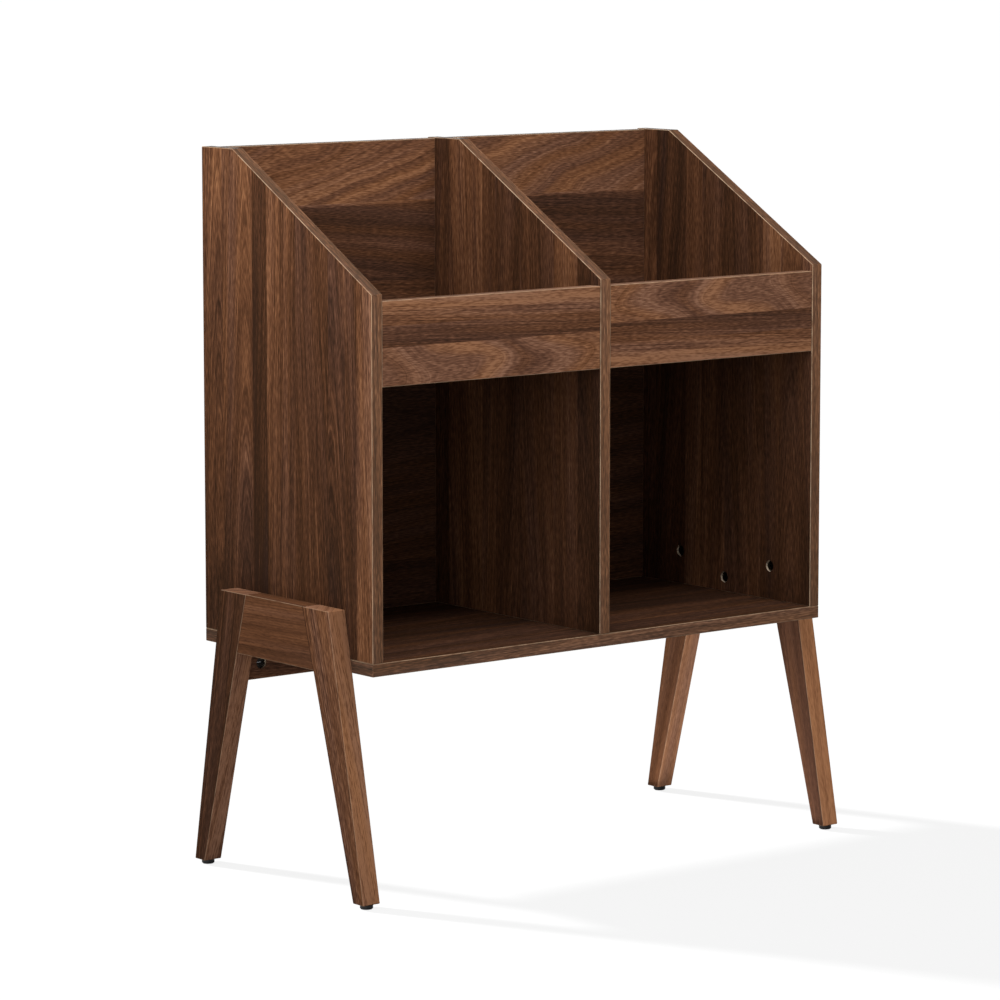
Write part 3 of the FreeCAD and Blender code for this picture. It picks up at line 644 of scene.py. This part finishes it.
def plastic_material(name, colour, light, roughness):
    """Moulded plastic, with scuffs in the lighter colour."""
    material, tree, shader = new_material(name)
    place, _ = surface(tree)
    grain = noise_at(place, PLASTIC_GRAIN, detail=2.0)
    scuff = noise_at(place, PLASTIC_SCUFFS, detail=3.0).step(0.02, 0.22)
    plug(tree, shader.inputs["Base Color"], scuff.blend(colour, light))
    plug(tree, shader.inputs["Roughness"], grain * 0.2 + scuff * 0.15 + roughness)
    emboss(tree, shader, grain, PLASTIC_DEPTH)
    return material


def metal_material(name, colour, dull, roughness):
    """Metal with duller patches and fine scratches."""
    material, tree, shader = new_material(name)
    place, _ = surface(tree)
    spangle = noise_at(place, METAL_SPANGLES, detail=2.0).step(-0.2, 0.25)
    scratch = noise_at(place, METAL_SCRATCHES, detail=2.0)
    plug(tree, shader.inputs["Base Color"], spangle.blend(dull, colour))
    plug(tree, shader.inputs["Roughness"], spangle * -0.12 + scratch * 0.2 + roughness)
    shader.inputs["Metallic"].default_value = 1.0
    emboss(tree, shader, scratch, METAL_DEPTH)
    return material


def dowel_material(name, colour, dark):
    """Pale wood whose fibres run front to back."""
    material, tree, shader = new_material(name)
    px, py, pz = surface(tree)[0].parts()
    fibre = noise(py * DOWEL_ALONG, px * DOWEL_ACROSS, pz * DOWEL_ACROSS, detail=3.0)
    plug(tree, shader.inputs["Base Color"], fibre.step(-0.25, 0.25).blend(dark, colour))
    plug(tree, shader.inputs["Roughness"], fibre * 0.3 + DOWEL_ROUGHNESS)
    emboss(tree, shader, fibre, DOWEL_DEPTH)
    return material


foot_plastic = plastic_material(
    "foot_plastic", colour=(0.011, 0.011, 0.012), light=(0.03, 0.03, 0.031), roughness=0.42)
zinc_steel = metal_material(
    "zinc_steel", colour=(0.62, 0.63, 0.66), dull=(0.45, 0.46, 0.48), roughness=0.34)
# Cam locks: blackened zinc, darkened further as painted shade of the holes they sit in
cast_zinc = metal_material(
    "cast_zinc", colour=(0.042, 0.039, 0.036), dull=(0.020, 0.018, 0.017), roughness=0.60)
black_steel = metal_material(
    "black_steel", colour=(0.045, 0.043, 0.042), dull=(0.02, 0.019, 0.019), roughness=0.40)
pale_dowel = dowel_material("pale_dowel", colour=(0.56, 0.41, 0.25), dark=(0.43, 0.29, 0.16))

CORNERS = [side + "_" + end for side in ("left", "right") for end in ("front", "back")]
for corner in CORNERS:
    dress(corner + "_foot_pad", foot_plastic)
    dress(corner + "_foot_stem", zinc_steel)
HARDWARE = {
    "foot_inserts": zinc_steel,
    "trestle_inserts": zinc_steel,
    "bottom_screws": zinc_steel,
    "cam_bolts": zinc_steel,
    "divider_cam_bolts": zinc_steel,
    "cam_locks": cast_zinc,
    "trestle_bolts": black_steel,
    "crosspiece_dowels": pale_dowel,
}
for node, material in HARDWARE.items():
    dress(node, material)


# Studio: a wide pale floor, soft lights and the camera

FLOOR_REACH = 70.0
FLOOR_PALE = (0.19, 0.19, 0.19)
FLOOR_DIM = (0.18, 0.18, 0.18)
FLOOR_SEEN = (0.05, 0.05, 0.05)
FLOOR_LIFT = 0.86
FLOOR_MOTTLE = 3.0
FLOOR_ROUGHNESS = 0.9
WHITE = (1.0, 1.0, 1.0, 1.0)


def make_floor():
    """A wide floor that the camera sees evenly pale, whatever the softboxes do."""
    mesh = bpy.data.meshes.new("studio_floor")
    corners = [(x, y, 0.0) for x, y in ((-1, -1), (1, -1), (1, 1), (-1, 1))]
    mesh.from_pydata([Vector(corner) * FLOOR_REACH for corner in corners], [], [(0, 1, 2, 3)])
    floor = bpy.data.objects.new("studio_floor", mesh)
    bpy.context.scene.collection.objects.link(floor)
    material, tree, shader = new_material("studio_floor")
    px, py, _ = surface(tree)[0].parts()
    mottle = noise(px * FLOOR_MOTTLE, py * FLOOR_MOTTLE, 0.0, detail=3.0)
    seen = Field(tree, tree.nodes.new("ShaderNodeLightPath").outputs["Is Camera Ray"])
    colour = mottle.step(-0.3, 0.3).blend(FLOOR_DIM, FLOOR_PALE)
    plug(tree, shader.inputs["Base Color"], seen.blend(colour, FLOOR_SEEN))
    plug(tree, shader.inputs["Roughness"], mottle * 0.1 + FLOOR_ROUGHNESS)
    shader.inputs["Specular IOR Level"].default_value = 0.0
    shader.inputs["Emission Color"].default_value = WHITE
    plug(tree, shader.inputs["Emission Strength"], seen * FLOOR_LIFT)
    mesh.materials.append(material)
    return floor


def light_only(lamp, lit):
    """Keeps a lamp's light to some objects."""
    receivers = bpy.data.collections.new(lamp.name + "_lit")
    for item in lit:
        receivers.objects.link(item)
    lamp.light_linking.receiver_collection = receivers


def make_sun(name, towards, strength, softness):
    """A soft light far off in one direction, given from the object towards it."""
    light = bpy.data.lights.new(name, "SUN")
    light.energy = strength
    light.angle = radians(softness)
    lamp = bpy.data.objects.new(name, light)
    lamp.rotation_euler = Vector(towards).to_track_quat("Z", "Y").to_euler()
    bpy.context.scene.collection.objects.link(lamp)
    return lamp


def make_softbox(name, place, aim, width, height, power):
    """A rectangular soft light that faces a point."""
    light = bpy.data.lights.new(name, "AREA")
    light.shape = "RECTANGLE"
    light.size = width
    light.size_y = height
    light.energy = power
    lamp = bpy.data.objects.new(name, light)
    lamp.location = place
    lamp.rotation_euler = (Vector(place) - Vector(aim)).to_track_quat("Z", "Y").to_euler()
    lamp.visible_camera = False
    bpy.context.scene.collection.objects.link(lamp)
    return lamp


def make_world(fill, backdrop):
    """Even soft fill, with a lighter backdrop where the camera sees past the floor."""
    world = bpy.data.worlds.new("studio")
    world.use_nodes = True
    bpy.context.scene.world = world
    tree = world.node_tree
    background = next(node for node in tree.nodes if node.type == "BACKGROUND")
    background.inputs["Color"].default_value = WHITE
    seen = Field(tree, tree.nodes.new("ShaderNodeLightPath").outputs["Is Camera Ray"])
    plug(tree, background.inputs["Strength"], seen.choose(fill, backdrop))


# Softboxes: place, the point they face, width, height and power

ROOM_LIGHTS = {
    "top_light": ((-0.20, -1.00, 2.45), (0.0, 0.0, 0.62), 1.8, 1.2, 40.0),
    "left_high_light": ((-1.10, -0.20, 1.90), (-0.36, 0.0, 0.70), 0.7, 0.7, 7.0),
    "left_low_light": ((-1.05, 0.05, 1.02), (-0.36, 0.0, 0.60), 0.5, 0.5, 2.4),
    "corner_light": ((-1.50, -1.10, 1.10), (0.0, 0.0, 0.60), 0.7, 0.7, 2.5),
}
RIGHT_LEG_LIGHTS = {
    "trestle_light": ((-0.80, -3.00, 0.60), (0.37, 0.0, 0.15), 1.0, 0.5, 38.0),
    "bounce_light": ((0.18, 0.0, 0.01), (0.18, 0.0, 1.0), 0.35, 0.35, 0.85),
}
BACK_LIGHT = ((1.90, 2.30, 1.15), (0.0, 0.0, 0.55), 1.4, 1.4, 40.0)
SUN_TOWARDS = (-0.313, 0.782, 0.538)
SUN_STRENGTH = 16.0
SUN_SOFTNESS = 5.0
WORLD_FILL = 0.384
WORLD_BACKDROP = 1.0

CAMERA_PLACE = (-3.54458, -4.38683, 1.20541)
CAMERA_TILT = 7.663
CAMERA_TURN = -38.676
CAMERA_LENS = 161.228
SENSOR = 36.0


def make_camera():
    """The photograph's viewpoint."""
    data = bpy.data.cameras.new("camera")
    data.lens = CAMERA_LENS
    data.sensor_width = SENSOR
    camera = bpy.data.objects.new("camera", data)
    camera.location = CAMERA_PLACE
    camera.rotation_euler = (radians(90.0 - CAMERA_TILT), 0.0, radians(CAMERA_TURN))
    bpy.context.scene.collection.objects.link(camera)
    bpy.context.scene.camera = camera


floor = make_floor()
for name, softbox in ROOM_LIGHTS.items():
    make_softbox(name, *softbox)
light_only(make_sun("floor_light", SUN_TOWARDS, SUN_STRENGTH, SUN_SOFTNESS), [floor])
right_legs = [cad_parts[name] for name in ("right_front_leg", "right_back_leg")]
for name, softbox in RIGHT_LEG_LIGHTS.items():
    light_only(make_softbox(name, *softbox), right_legs)
light_only(make_softbox("back_light", *BACK_LIGHT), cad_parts.values())
make_world(WORLD_FILL, WORLD_BACKDROP)
make_camera()
bpy.context.scene.view_settings.view_transform = "Standard"
